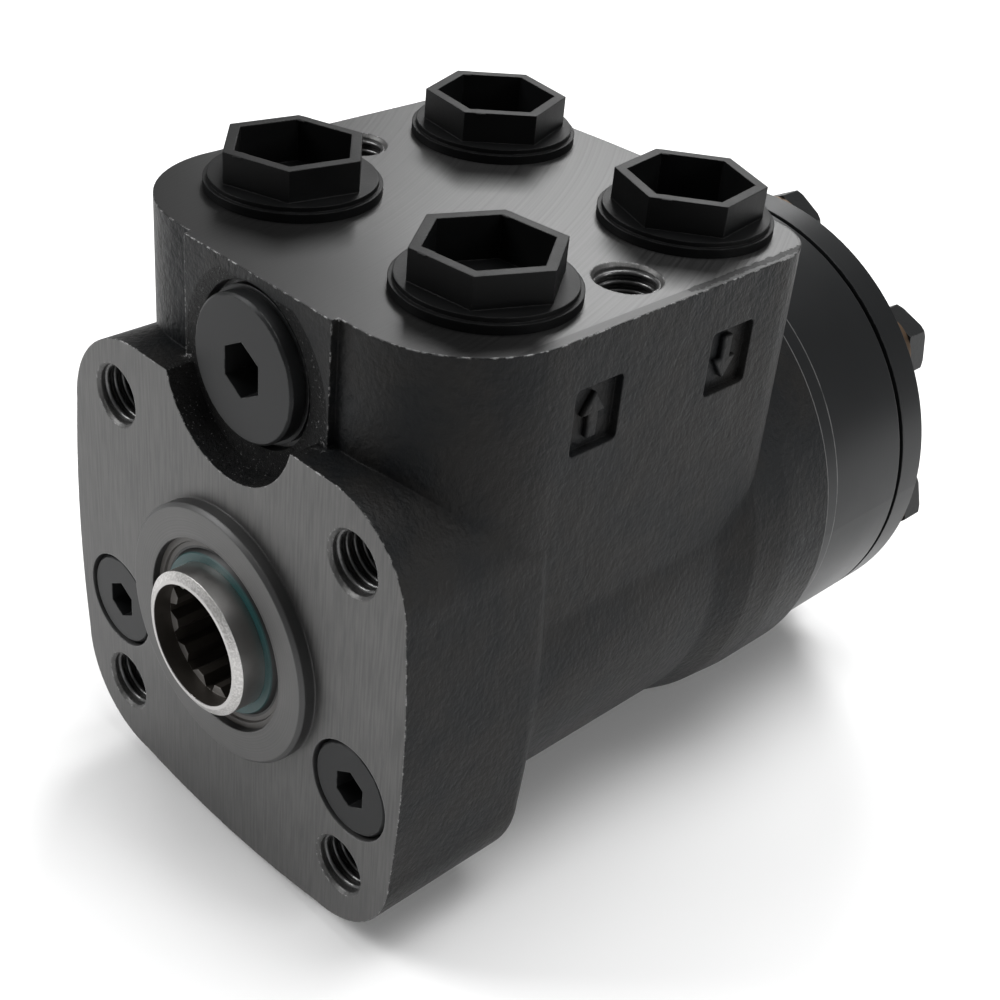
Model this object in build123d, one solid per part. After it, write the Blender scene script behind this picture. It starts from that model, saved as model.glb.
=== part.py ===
from build123d import *

import os
from math import atan2, copysign, cos, degrees, hypot, pi, radians, sin, sqrt, tan

# Orbital steering unit: a cast housing with a turning spool and sleeve, a gerotor gear set behind
# it, four top ports and a splined socket for the steering column.
# Millimetres. The shaft axis is Y, the column flange faces -Y with its face at y = 0, the ports
# face +Z. Angles are counted from +X towards +Z, as seen from the column side.

# ---- Fits -------------------------------------------------------------------------------------
running_fit = 0.03          # radial, pieces that turn or slide in one another
seat_fit = 0.02             # radial, pieces that are pressed or screwed together
face_gap = 0.05             # axial, pieces that turn face to face
loose_fit = 0.3             # pieces that pass each other freely

# ---- Column flange ----------------------------------------------------------------------------
bolt_circle = 82.6
column_thread_radius = 5.0
column_hole_depth = 18.0
flange_half_width = 41.0
flange_top = 40.2
flange_bottom = 41.3
flange_side_bow = 1.3
flange_bottom_bow = 1.7
flange_corner = 17.0
flange_depth = 29.5
flange_back_round = 3.0
pilot_radius = 22.2
pilot_height = 2.6
pilot_bevel = 0.6

# ---- Casting behind the flange ----------------------------------------------------------------
body_radius = 42.0
rear_collar_radius = 44.8
rear_collar_flare = 16.0
rear_collar_length = 28.0
housing_length = 99.0

# ---- Port block -------------------------------------------------------------------------------
port_face = 60.6
block_half_width = 40.6
block_front = 6.3
block_front_corner = 20.0
block_rear = 86.0
block_rear_bow = 2.5
block_rear_corner = 10.0
relief_pad_front = 5.0
relief_pad_half_width = 17.0
notch_radius = 15.5
notch_height = 44.3
mark_window_width = 10.0
mark_window_height = 11.0
mark_window_depth = 1.5
mark_window_corner = 1.0
mark_window_height_z = 46.7
mark_window_spacing = 30.0
mark_window_row_centre = 49.9

# ---- Ports and the tapped holes of a valve block ------------------------------------------------
port_spacing = 43.9
port_row_centre = 51.2
port_thread_radius = 10.48
port_depth = 15.0
valve_bolt_spacing = 62.0
valve_bolt_row = 49.5
valve_thread_radius = 5.0
valve_hole_depth = 16.0
thread_lead_in = 0.5

# ---- Transport plugs in the ports ---------------------------------------------------------------
plug_collar_radius = 14.12
plug_collar_height = 1.5
plug_step_inset = 0.7
plug_step_height = 0.8
plug_hex_across_flats = 20.9
plug_hex_height = 5.1
plug_hex_wall = 1.7
plug_cup_depth = 7.0
plug_stub_length = 10.0
plug_stub_wall = 1.6
plug_floor = 1.4
plug_turns = (5.4, 38.2, 50.0, 18.1)

# ---- Spool, sleeve and the oil grooves ----------------------------------------------------------
sleeve_radius = 19.0
spool_radius = 14.3
spool_bore_radius = 10.4
spool_neck_radius = 12.2
spool_nose = 6.7
spool_bevel_length = 1.3
spool_bevel_width = 0.78
spool_end_gap = 1.3
socket_teeth = 12
socket_minor_radius = 8.73
socket_major_radius = 10.3
socket_gap_inner = 10.0      # half angles of the gaps between the socket's teeth
socket_gap_outer = 4.5
socket_recess = 3.2
socket_length = 18.0
spool_web = 3.0
groove_rows = 4
groove_pitch = 14.0
groove_first = 38.0
groove_width = 6.0
groove_depth = 1.3
passage_radius = 4.0
spool_slots = 8
spool_slot_width = 3.0
spool_slot_depth = 0.9
spool_slot_length = 26.0
sleeve_ports_per_row = 4
sleeve_port_radius = 1.6
sleeve_port_start = 0.7       # share of the sleeve's radius
sleeve_port_rows = 3

# ---- Seals and axial needle bearing at the front ------------------------------------------------
dust_seal_radius = 16.5
dust_seal_depth = 2.5
dust_seal_sunk = 0.8
seal_lip_width = 1.4
dust_lip_height = 0.9
dust_lip_slope = 0.6
dust_lip_undercut = 1.0
dust_rim_width = 1.0
dust_rim_height = 0.4
dust_rim_slope = 0.2
throat_radius = 13.2
throat_length = 2.5
shaft_seal_radius = 17.0
shaft_seal_length = 6.0
shaft_seal_wall = 1.5
shaft_seal_hollow = 2.2
shaft_seal_draft = 0.4
shaft_lip_bevel = 1.0
shaft_lip_slope = 0.8
race_thickness = 1.2
needle_radius = 1.2
needle_count = 14
needle_inner = 13.4
needle_rim = 1.2

# ---- Cross pin, leaf springs and their ring -----------------------------------------------------
cross_pin_radius = 2.5
cross_pin_bevel = 0.4
cross_pin_row = 45.0
spool_swing = 8.0
leaf_row = 24.0
leaf_width = 7.0
leaf_thickness = 0.7
leaf_slot_half = 2.6
spring_ring_wall = 1.3
spring_ring_length = 10.0

# ---- Gear set -----------------------------------------------------------------------------------
distributor_thickness = 4.4
distributor_hole = 10.8
ring_radius = 43.6
ring_width = 19.8
ring_lobes = 7
lobe_circle = 28.0
lobe_radius = 6.5
eccentricity = 2.6
gear_clearance = 0.04
rotor_facets = 24
rotor_step_bias = 0.8
rest_orbit_angle = 90.0
cover_thickness = 8.3
cover_neck_depth = 1.0
cover_neck_length = 1.2
cover_bevel = 0.8
seal_groove_radius = 41.4
seal_groove_width = 1.6
seal_groove_depth = 1.35
seal_cord_radius = 0.65

# ---- Cardan shaft -------------------------------------------------------------------------------
cardan_radius = 6.2
fork_radius = 8.5
fork_length = 14.0
fork_slot_depth = 11.0
fork_bevel = 1.0
fork_taper = 3.0
cardan_teeth = 12
cardan_root_radius = 7.6
cardan_tip_radius = 9.2
cardan_tooth_length = 9.0
cardan_tooth_inner = 8.5      # half angles of the crowned teeth
cardan_tooth_outer = 4.0
cardan_crown = 0.12
rotor_spline_minor = 8.0
rotor_spline_major = 9.6
rotor_gap_inner = 9.0
rotor_gap_outer = 5.5
spacer_length = 4.0

# ---- Rear screws --------------------------------------------------------------------------------
screw_circle = 36.0
screw_radius = 3.95
screw_hole_radius = 4.2
screw_grip = 17.0
screw_hole_depth = 19.0
screw_head_across_flats = 13.0
screw_head_height = 5.3
screw_crown_edge = 0.4
screw_crown_flare = 0.5
screw_dog_radius = 2.0
screw_dog_length = 1.0
washer_radius = 7.0
washer_thickness = 1.2

# ---- Relief valve above the shaft ---------------------------------------------------------------
relief_height = 46.0
relief_spot_radius = 13.0
relief_spot_depth = 1.9
relief_plug_radius = 11.6
relief_head = 2.7
relief_washer_radius = 12.2
relief_washer = 1.5
relief_thread_radius = 8.0
relief_thread_length = 8.0
relief_hex_across_flats = 8.0
relief_hex_depth = 6.0
relief_bore_radius = 5.5
relief_adjuster_length = 5.0
relief_spring_length = 13.0
relief_spring_radius = 4.4
relief_wire_radius = 0.6
spring_turns = 5
relief_stem_radius = 2.6
relief_seat_hole = 1.7
relief_collar = 1.5
relief_piston_length = 7.0
relief_seat_length = 6.0
relief_lift = 1.5
plug_head_bevel = 0.4

# ---- Shock valves beside the shaft --------------------------------------------------------------
shock_offset = 30.6
shock_drop = 12.2
shock_counterbore = 8.6
shock_sink = 0.3
shock_head_radius = 8.1
shock_head = 2.2
shock_washer = 1.0
shock_thread_radius = 6.0
shock_thread_length = 8.5
shock_hex_across_flats = 6.0
shock_hex_depth = 5.0
shock_bore_radius = 4.2
shock_adjuster_length = 5.0
shock_spring_length = 11.0
shock_spring_radius = 3.3
shock_wire_radius = 0.5
shock_ball_radius = 3.0
shock_feed_radius = 2.0

# ---- Check valve and suction valves -------------------------------------------------------------
check_circle = 27.0
check_bush_radius = 5.0
check_bush_length = 7.0
check_bush_hole = 2.0
check_bush_sunk = 0.5
check_ball_radius = 3.4
check_bore_radius = 3.8
check_travel = 1.2
suction_bore_radius = 2.6
suction_bore_length = 18.0
suction_pin_radius = 2.2
suction_pin_length = 11.0
suction_ball_radius = 2.3
suction_feed_radius = 1.6

# ---- Places worked out from the sizes above -----------------------------------------------------
seal_bore_start = dust_seal_depth + throat_length
bearing_start = seal_bore_start + shaft_seal_length
needle_length = sleeve_radius - needle_rim - needle_inner
needle_start = bearing_start + race_thickness + face_gap
inner_race_start = needle_start + 2 * needle_radius + face_gap
shoulder = inner_race_start + race_thickness
gear_start = housing_length + distributor_thickness
cover_start = gear_start + ring_width
cover_end = cover_start + cover_thickness
rotor_middle = gear_start + ring_width / 2
cardan_length = rotor_middle - cross_pin_row
cardan_tilt = degrees(atan2(eccentricity, cardan_length))
relief_head_start = relief_pad_front + relief_spot_depth - relief_washer - relief_head
relief_bore_start = relief_pad_front + relief_spot_depth + relief_thread_length
relief_adjuster_start = relief_bore_start + loose_fit
relief_spring_start = relief_adjuster_start + relief_adjuster_length
relief_piston_start = relief_spring_start + relief_spring_length
relief_seat_start = relief_piston_start + relief_piston_length + face_gap
shock_seat_face = shock_sink + shock_head + shock_washer
shock_bore_start = shock_seat_face + shock_thread_length
shock_adjuster_start = shock_bore_start + loose_fit
shock_spring_start = shock_adjuster_start + shock_adjuster_length
shock_ball_row = shock_spring_start + shock_spring_length + shock_ball_radius
shock_seat = shock_ball_row + sqrt(shock_ball_radius ** 2 - shock_feed_radius ** 2) + face_gap
shock_feed_end = shock_ball_row + shock_ball_radius + 2 * shock_feed_radius
check_ball_row = housing_length - check_bush_sunk - check_bush_length - check_travel - check_ball_radius
check_seat = check_ball_row - sqrt(check_ball_radius ** 2 - check_bush_hole ** 2) - face_gap
screw_bore_end = housing_length - screw_hole_depth
suction_end = screw_bore_end - suction_bore_length
suction_screws = (3, 4)
pinned_screw = 5


# ---- Shapes used by several pieces --------------------------------------------------------------

def along_y(profile, start, end):
    """A sketch drawn in x and z, pulled from y = start to y = end."""
    return extrude(Plane.XZ.offset(-start) * profile, amount=start - end)


def rod(radius, start, end, x=0, z=0):
    """A round bar along Y."""
    return along_y(Pos(x, z) * Circle(radius), start, end)


def tube(outer, inner, start, end, x=0, z=0):
    """A round tube along Y."""
    return along_y(Pos(x, z) * (Circle(outer) - Circle(inner)), start, end)


def turned(*corners):
    """A body turned about the shaft axis from its (radius, y) corners."""
    return revolve(make_face(Polyline(*corners, close=True)), Axis.Y)


def drilling(start, end, radius):
    """A straight round hole between two points."""
    way = Vector(*end) - Vector(*start)
    return extrude(Plane(origin=start, z_dir=way) * Circle(radius), amount=way.length)


def hexagon(across_flats, turn=0):
    """A hexagon measured over its flats."""
    return RegularPolygon(across_flats / sqrt(3), 6, rotation=turn)


def toothed(inner, outer, teeth, inner_half, outer_half):
    """A toothed outline; the half angles give each tooth's width at its inner and outer radius."""
    tooth_corners = ((inner, -inner_half), (outer, -outer_half), (outer, outer_half), (inner, inner_half))
    corners = []
    for tooth in range(teeth):
        for radius, angle in tooth_corners:
            corners.append(on_circle(radius, 360 / teeth * tooth + angle))
    return Polygon(*corners, align=None)


def on_circle(radius, angle):
    """The x and z of a point on a circle about the shaft axis."""
    return radius * cos(radians(angle)), radius * sin(radians(angle))


def lobe_angle(index):
    """Lobes and rear screws share their angles, with the first one on top."""
    return 90 - index * 360 / ring_lobes


def coil(radius, wire, start, length, turns, x=0, z=0):
    """A compression spring along Y between two faces."""
    rise = length - 2 * wire - 2 * face_gap
    centre = (x, start + wire + face_gap, z)
    path = Helix(rise / turns, rise, radius - wire, center=centre, direction=(0, 1, 0))
    section = Plane(origin=path @ 0, z_dir=path % 0) * RegularPolygon(wire, 4)
    return sweep(section, path)


def cord_ring(face):
    """A round seal lying in a groove that opens at y = face."""
    ring = Pos(seal_groove_radius, face - seal_groove_depth / 2) * RegularPolygon(seal_cord_radius, 8)
    return revolve(ring, Axis.Y)


def cord_groove(face):
    """The groove for a round seal, cut forward from y = face."""
    inner = seal_groove_radius - seal_groove_width / 2
    return tube(inner + seal_groove_width, inner, face - seal_groove_depth, face)


def screw_pattern(radius, start, end):
    """One hole for each rear screw."""
    holes = []
    for index in range(ring_lobes):
        x, z = on_circle(screw_circle, lobe_angle(index))
        holes.append(rod(radius, start, end, x, z))
    return holes


# ---- Housing --------------------------------------------------------------------------------------

def column_flange():
    """The square front with bowed sides and large corners."""
    straight = flange_half_width - flange_corner
    top = flange_top - flange_corner
    bottom = flange_corner - flange_bottom
    reach = flange_corner / sqrt(2)
    wide = flange_half_width
    side = flange_half_width + flange_side_bow
    low = -flange_bottom
    outline = [
        ThreePointArc((wide, bottom), (side, 0), (wide, top)),
        ThreePointArc((wide, top), (straight + reach, top + reach), (straight, flange_top)),
        Line((straight, flange_top), (-straight, flange_top)),
        ThreePointArc((-straight, flange_top), (-straight - reach, top + reach), (-wide, top)),
        ThreePointArc((-wide, top), (-side, 0), (-wide, bottom)),
        ThreePointArc((-wide, bottom), (-straight - reach, bottom - reach), (-straight, low)),
        ThreePointArc((-straight, low), (0, low - flange_bottom_bow), (straight, low)),
        ThreePointArc((straight, low), (straight + reach, bottom - reach), (wide, bottom)),
    ]
    plate = along_y(make_face(outline), 0, flange_depth)
    plate = fillet(plate.edges().group_by(Axis.Y)[-1], flange_back_round)
    return plate - rod(notch_radius, 0, relief_pad_front, 0, notch_height)


def round_body():
    """The round lower casting with the flared collar that carries the gear set."""
    collar_start = housing_length - rear_collar_length
    flare_end = collar_start + rear_collar_flare
    flare_middle = collar_start + rear_collar_flare / 2
    flare_bulge = (rear_collar_radius - body_radius) / 4
    outline = [
        Line((0, relief_pad_front), (body_radius, relief_pad_front)),
        Line((body_radius, relief_pad_front), (body_radius, collar_start)),
        Line((body_radius, collar_start), (rear_collar_radius - flare_bulge, flare_middle)),
        Line((rear_collar_radius - flare_bulge, flare_middle), (rear_collar_radius, flare_end)),
        Line((rear_collar_radius, flare_end), (rear_collar_radius, housing_length)),
        Line((rear_collar_radius, housing_length), (0, housing_length)),
        Line((0, housing_length), (0, relief_pad_front)),
    ]
    return revolve(make_face(outline), Axis.Y)


def port_block():
    """The upright block in plan, with its relief valve pad, drawn out to the port face."""
    front = block_half_width - block_front_corner
    rear = block_half_width - block_rear_corner
    turn_front = block_front + block_front_corner
    turn_rear = block_rear - block_rear_corner
    pull_front = block_front_corner / sqrt(2)
    pull_rear = block_rear_corner / sqrt(2)

    def half(side):
        pad_side = side * relief_pad_half_width
        edge = side * block_half_width
        front_middle = (side * (front + pull_front), turn_front - pull_front)
        rear_middle = (side * (rear + pull_rear), turn_rear + pull_rear)
        return [
            Line((pad_side, relief_pad_front), (pad_side, block_front)),
            Line((pad_side, block_front), (side * front, block_front)),
            ThreePointArc((side * front, block_front), front_middle, (edge, turn_front)),
            Line((edge, turn_front), (edge, turn_rear)),
            ThreePointArc((edge, turn_rear), rear_middle, (side * rear, block_rear)),
        ]

    pad = Line((-relief_pad_half_width, relief_pad_front), (relief_pad_half_width, relief_pad_front))
    back = ThreePointArc((-rear, block_rear), (0, block_rear + block_rear_bow), (rear, block_rear))
    return extrude(make_face([pad, back] + half(1) + half(-1)), amount=port_face)


def mark_windows():
    """Two shallow cast windows on each side of the block, beside the ports."""
    pane = RectangleRounded(mark_window_width, mark_window_height, mark_window_corner)
    cuts = []
    for side in (1, -1):
        for row in (-0.5, 0.5):
            y = mark_window_row_centre + row * mark_window_spacing
            middle = (side * block_half_width, y, mark_window_height_z)
            face = Plane(origin=middle, x_dir=(0, 1, 0), z_dir=(side, 0, 0))
            cuts.append(extrude(face * pane, amount=mark_window_depth, both=True))
    return cuts


def shaft_bore():
    """The stepped bore for seals, bearing and sleeve."""
    bore = sleeve_radius + running_fit
    return turned(
        (0, -pilot_height), (dust_seal_radius + seat_fit, -pilot_height),
        (dust_seal_radius + seat_fit, dust_seal_depth), (throat_radius, dust_seal_depth),
        (throat_radius, seal_bore_start), (shaft_seal_radius + seat_fit, seal_bore_start),
        (shaft_seal_radius + seat_fit, bearing_start), (bore, bearing_start),
        (bore, housing_length), (0, housing_length))


def port_places():
    """Port centres in order: front right, rear right, rear left, front left."""
    half = port_spacing / 2
    return [(half, port_row_centre - half), (half, port_row_centre + half),
            (-half, port_row_centre + half), (-half, port_row_centre - half)]


def top_hole(radius, depth, x, y):
    """A tapped hole in the port face."""
    return Pos(x, y, port_face) * Cylinder(radius, depth, align=(Align.CENTER, Align.CENTER, Align.MAX))


def valve_bolt_hole(x):
    """A tapped hole for a valve block's screw, with a small lead-in."""
    lead = Cone(valve_thread_radius, valve_thread_radius + thread_lead_in, thread_lead_in)
    place = Pos(x, valve_bolt_row, port_face - thread_lead_in / 2)
    return top_hole(valve_thread_radius, valve_hole_depth, x, valve_bolt_row) + place * lead


def front_hole(radius, depth, x, z):
    """A tapped hole in the column flange with a small lead-in."""
    lead = Pos(x, thread_lead_in / 2, z) * Rot(X=90) * Cone(radius, radius + thread_lead_in, thread_lead_in)
    return rod(radius, 0, depth, x, z) + lead


def port_holes():
    """The four ports and the slanted passage from each one to its own oil groove."""
    cuts = []
    floor = port_face - port_depth
    for (x, y), row in zip(port_places(), (1, 3, 2, 0)):
        cuts.append(top_hole(port_thread_radius, port_depth, x, y))
        groove = groove_first + row * groove_pitch
        target = (copysign(sleeve_radius / 2, x), groove, sleeve_radius - groove_depth)
        cuts.append(drilling((x, y, floor + passage_radius), target, passage_radius))
    return cuts


def relief_bore():
    """The stepped bore of the relief valve and its feed from an oil groove."""
    end = relief_seat_start + relief_seat_length
    feed_row = groove_first + 2 * groove_pitch
    return [
        rod(relief_spot_radius, relief_pad_front, relief_pad_front + relief_spot_depth, 0, relief_height),
        rod(relief_thread_radius + seat_fit, 0, relief_bore_start, 0, relief_height),
        rod(relief_bore_radius + seat_fit, 0, end, 0, relief_height),
        drilling((0, end - 1, relief_height), (0, feed_row, sleeve_radius), relief_seat_hole),
    ]


def shock_bore(side):
    """The stepped bore of one shock valve and its feed from an oil groove."""
    x, z = side * shock_offset, -shock_drop
    feed_start = (x, shock_feed_end - shock_feed_radius, z)
    feed_row = groove_first + groove_pitch
    return [
        rod(shock_counterbore, 0, shock_seat_face, x, z),
        rod(shock_thread_radius + seat_fit, 0, shock_bore_start, x, z),
        rod(shock_bore_radius + seat_fit, 0, shock_seat, x, z),
        rod(shock_feed_radius, shock_seat, shock_feed_end, x, z),
        drilling(feed_start, (side * sleeve_radius, feed_row, 0), shock_feed_radius),
    ]


def check_bore():
    """The check valve's stepped bore in the rear face, below the shaft."""
    bush_end = housing_length - check_bush_sunk - check_bush_length
    feed = check_seat - check_ball_radius
    return [
        rod(check_bush_radius + seat_fit, bush_end, housing_length, 0, -check_circle),
        rod(check_bore_radius, check_seat, bush_end, 0, -check_circle),
        rod(check_bush_hole, feed, check_seat, 0, -check_circle),
        drilling((0, feed, -check_circle), (0, feed, -sleeve_radius), check_bush_hole),
    ]


def suction_bores():
    """The two thin bores that carry on from their screw holes."""
    cuts = []
    for index in suction_screws:
        x, z = on_circle(screw_circle, lobe_angle(index))
        cuts.append(rod(suction_bore_radius, suction_end, screw_bore_end, x, z))
        feed_start = (x, suction_end + suction_feed_radius, z)
        cuts.append(drilling(feed_start, (x / 2, suction_end, z / 2), suction_feed_radius))
    return cuts


def housing():
    """The casting, machined."""
    block = round_body() + column_flange()
    block += port_block() - rod(notch_radius, 0, relief_pad_front, 0, notch_height)
    pilot = rod(pilot_radius, -pilot_height, dust_seal_depth)
    block += chamfer(pilot.edges().group_by(Axis.Y)[0], pilot_bevel)
    cuts = [shaft_bore()] + port_holes() + mark_windows() + relief_bore() + check_bore() + suction_bores()
    cuts += shock_bore(1) + shock_bore(-1)
    for side in (1, -1):
        cuts.append(valve_bolt_hole(side * valve_bolt_spacing / 2))
        for level in (1, -1):
            x, z = on_circle(bolt_circle / 2, 45)
            cuts.append(front_hole(column_thread_radius, column_hole_depth, side * x, level * z))
    cuts += screw_pattern(screw_radius + seat_fit, screw_bore_end, housing_length)
    return block - cuts


# ---- Spool, sleeve and what sits on them ------------------------------------------------------------

def spool():
    """The inner valve with the column socket in its neck."""
    end = housing_length - spool_end_gap
    body = turned((0, -spool_nose), (spool_neck_radius, -spool_nose), (spool_neck_radius, shoulder),
                  (spool_radius, shoulder), (spool_radius, end), (0, end))
    rim = body.edges().group_by(Axis.Y)[0]
    body = chamfer(rim, spool_bevel_length, spool_bevel_width)
    socket_start = socket_recess - spool_nose
    bore_start = socket_start + socket_length + spool_web
    body -= rod(socket_major_radius, -spool_nose, socket_start)
    gaps = toothed(socket_minor_radius, socket_major_radius, socket_teeth,
                   socket_gap_inner, socket_gap_outer)
    body -= along_y(gaps, socket_start, socket_start + socket_length)
    body -= rod(spool_bore_radius, bore_start, end)
    swing = radians(spool_swing)
    half = spool_radius * sin(swing) + cross_pin_radius + loose_fit
    pin_slot = Box(2 * sleeve_radius, 2 * (cross_pin_radius + loose_fit), 2 * half)
    body -= Pos(0, cross_pin_row, 0) * fillet(pin_slot.edges().filter_by(Axis.X), cross_pin_radius)
    body -= Pos(0, leaf_row, 0) * Box(2 * leaf_slot_half, leaf_width + loose_fit, 2 * sleeve_radius)
    return body - spool_grooves()


def spool_grooves():
    """Long metering slots around the spool behind the cross pin."""
    middle = cross_pin_row + cross_pin_radius + groove_pitch + spool_slot_length / 2
    slot = Pos(spool_radius, middle, 0) * Box(2 * spool_slot_depth, spool_slot_length, spool_slot_width)
    return [Rot(Y=360 / spool_slots * index) * slot for index in range(spool_slots)]


def sleeve():
    """The outer valve: ring grooves behind the cross pin, ports in them, pin holes and leaf slots."""
    end = housing_length - face_gap
    seat = leaf_row + spring_ring_length / 2
    front = sleeve_radius - spring_ring_wall
    body = turned((spool_radius + running_fit, shoulder), (front, shoulder), (front, seat),
                  (sleeve_radius, seat), (sleeve_radius, end), (spool_radius + running_fit, end))
    pin_hole = rod(cross_pin_radius + seat_fit, -sleeve_radius, sleeve_radius).rotate(Axis.Z, 90)
    body -= pin_hole.moved(Pos(0, cross_pin_row, 0))
    body -= Pos(0, leaf_row, 0) * Box(2 * leaf_slot_half, leaf_width + loose_fit, 2 * sleeve_radius)
    for row in range(1, groove_rows):
        middle = groove_first + row * groove_pitch
        groove_start, groove_end = middle - groove_width / 2, middle + groove_width / 2
        body -= tube(sleeve_radius, sleeve_radius - groove_depth, groove_start, groove_end)
    return body - sleeve_ports()


def sleeve_ports():
    """Rows of round ports through the sleeve, in its ring grooves."""
    holes = []
    for row in range(1, 1 + sleeve_port_rows):
        y = groove_first + row * groove_pitch
        for index in range(sleeve_ports_per_row):
            angle = 360 / sleeve_ports_per_row * (index + row / 2)
            x, z = on_circle(sleeve_radius, angle)
            start = (x * sleeve_port_start, y, z * sleeve_port_start)
            holes.append(drilling(start, (x, y, z), sleeve_port_radius))
    return holes


def cross_pin():
    """The pin that joins sleeve and cardan shaft and passes the spool with play."""
    length = 2 * (sqrt(sleeve_radius ** 2 - cross_pin_radius ** 2) - seat_fit)
    pin = Rot(Y=90) * Cylinder(cross_pin_radius, length)
    return Pos(0, cross_pin_row, 0) * chamfer(pin.edges().filter_by(GeomType.CIRCLE), cross_pin_bevel)


def leaf_reach():
    """Half the length of a leaf, so that its corners stay inside the spring ring."""
    inside = sleeve_radius - spring_ring_wall
    return sqrt(inside ** 2 - leaf_slot_half ** 2) - loose_fit


def flat_leaves():
    """The straight leaves in the middle of the pack."""
    return Pos(0, leaf_row, 0) * Box(2 * leaf_thickness, leaf_width, 2 * leaf_reach())


def arched_leaf(side):
    """One bowed leaf, its middle on the straight leaves and its ends on the slot's wall."""
    inner = leaf_thickness
    tip = leaf_slot_half - leaf_thickness
    reach = leaf_reach()
    outline = [
        ThreePointArc((side * tip, -reach), (side * inner, 0), (side * tip, reach)),
        Line((side * tip, reach), (side * (tip + leaf_thickness), reach)),
        ThreePointArc((side * (tip + leaf_thickness), reach), (side * (inner + leaf_thickness), 0),
                      (side * (tip + leaf_thickness), -reach)),
        Line((side * (tip + leaf_thickness), -reach), (side * tip, -reach)),
    ]
    return along_y(make_face(outline), leaf_row - leaf_width / 2, leaf_row + leaf_width / 2)


def spring_ring():
    """The thin ring that keeps the leaves in their slots."""
    inner = sleeve_radius - spring_ring_wall + seat_fit
    start = leaf_row - spring_ring_length / 2
    return tube(sleeve_radius - seat_fit, inner, max(start, shoulder), leaf_row + spring_ring_length / 2)


# ---- Seals and bearing ------------------------------------------------------------------------------

def dust_seal():
    """The wiper in the pilot, with a raised lip around the spool."""
    front = dust_seal_sunk - pilot_height
    lip = spool_neck_radius + running_fit
    lip_edge = lip + seal_lip_width
    gutter = front + dust_lip_height
    rim = gutter - dust_rim_height
    rim_edge = dust_seal_radius - dust_rim_width
    return turned((lip, front), (lip_edge, front), (lip_edge + dust_lip_slope, gutter),
                  (rim_edge - dust_rim_slope, gutter), (rim_edge, rim), (dust_seal_radius, rim),
                  (dust_seal_radius, dust_seal_depth), (throat_radius, dust_seal_depth),
                  (lip, dust_seal_depth - dust_lip_undercut))


def shaft_seal():
    """The pressure seal behind the throat."""
    lip = spool_neck_radius + running_fit
    wall = shaft_seal_radius - shaft_seal_wall
    web = bearing_start - shaft_seal_hollow
    return turned((lip, seal_bore_start + shaft_lip_bevel), (lip + shaft_lip_bevel, seal_bore_start),
                  (shaft_seal_radius, seal_bore_start), (shaft_seal_radius, bearing_start),
                  (wall, bearing_start), (wall - shaft_seal_draft, web), (lip + seal_lip_width, web),
                  (lip, web - shaft_lip_slope))


def bearing_race(start):
    """One flat race of the axial bearing."""
    return tube(sleeve_radius - running_fit, spool_neck_radius + running_fit, start, start + race_thickness)


def needle_cage():
    """The cage with its radial needles."""
    middle = needle_start + needle_radius
    plate = tube(sleeve_radius - loose_fit, spool_neck_radius + loose_fit,
                 middle - needle_radius / 2, middle + needle_radius / 2)
    needle = Rot(Y=90) * Cylinder(needle_radius, needle_length)
    needle = Pos(needle_inner + needle_length / 2, middle, 0) * needle
    return plate + [Rot(Y=360 / needle_count * index) * needle for index in range(needle_count)]


# ---- Gear set ---------------------------------------------------------------------------------------

def distributor_plate():
    """The plate that leads the sleeve's flow to the spaces between the lobes."""
    plate = rod(ring_radius, housing_length, gear_start) - rod(distributor_hole, housing_length, gear_start)
    cuts = screw_pattern(screw_hole_radius, housing_length, gear_start)
    sleeve_middle = (spool_radius + sleeve_radius) / 2
    hole = (sleeve_radius - spool_radius) / 2 - loose_fit
    for index in range(ring_lobes):
        angle = lobe_angle(index + 0.5)
        x1, z1 = on_circle(sleeve_middle, angle)
        x2, z2 = on_circle(lobe_circle - eccentricity, angle)
        cuts.append(drilling((x1, housing_length, z1), (x2, gear_start + 1, z2), hole))
    cuts.append(cord_groove(housing_length + seal_groove_depth))
    return plate - cuts


def gear_ring():
    """The fixed outer gear: a round cavity with seven round lobes standing into it."""
    cavity = along_y(Circle(rotor_reach() + gear_clearance), gear_start, cover_start)
    for index in range(ring_lobes):
        x, z = on_circle(lobe_circle, lobe_angle(index))
        cavity -= rod(lobe_radius, gear_start, cover_start, x, z)
    ring = rod(ring_radius, gear_start, cover_start) - cavity
    ring -= screw_pattern(screw_hole_radius, gear_start, cover_start)
    front_groove = cord_groove(gear_start + seal_groove_depth)
    return ring - front_groove - cord_groove(cover_start)


def rotor_point(angle):
    """A point of the rotor: the lobe circle's trochoid, moved inwards by the lobe radius."""
    turn = radians(angle)
    x = lobe_circle * cos(turn) - eccentricity * cos(ring_lobes * turn)
    z = lobe_circle * sin(turn) - eccentricity * sin(ring_lobes * turn)
    along_x = -lobe_circle * sin(turn) + ring_lobes * eccentricity * sin(ring_lobes * turn)
    along_z = lobe_circle * cos(turn) - ring_lobes * eccentricity * cos(ring_lobes * turn)
    inset = (lobe_radius + gear_clearance) / hypot(along_x, along_z)
    return x - along_z * inset, z + along_x * inset


def trochoid_angle(share):
    """The trochoid's angle at a share of the turn, with more steps where the outline runs faster."""
    lobes = ring_lobes - 1
    return 360 * share - degrees(sin(2 * lobes * pi * share)) * rotor_step_bias / lobes


def rotor_reach():
    """The farthest that the rotor's tips get from the shaft axis."""
    tip = hypot(*rotor_point(180 / (ring_lobes - 1)))
    return tip + eccentricity


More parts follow.
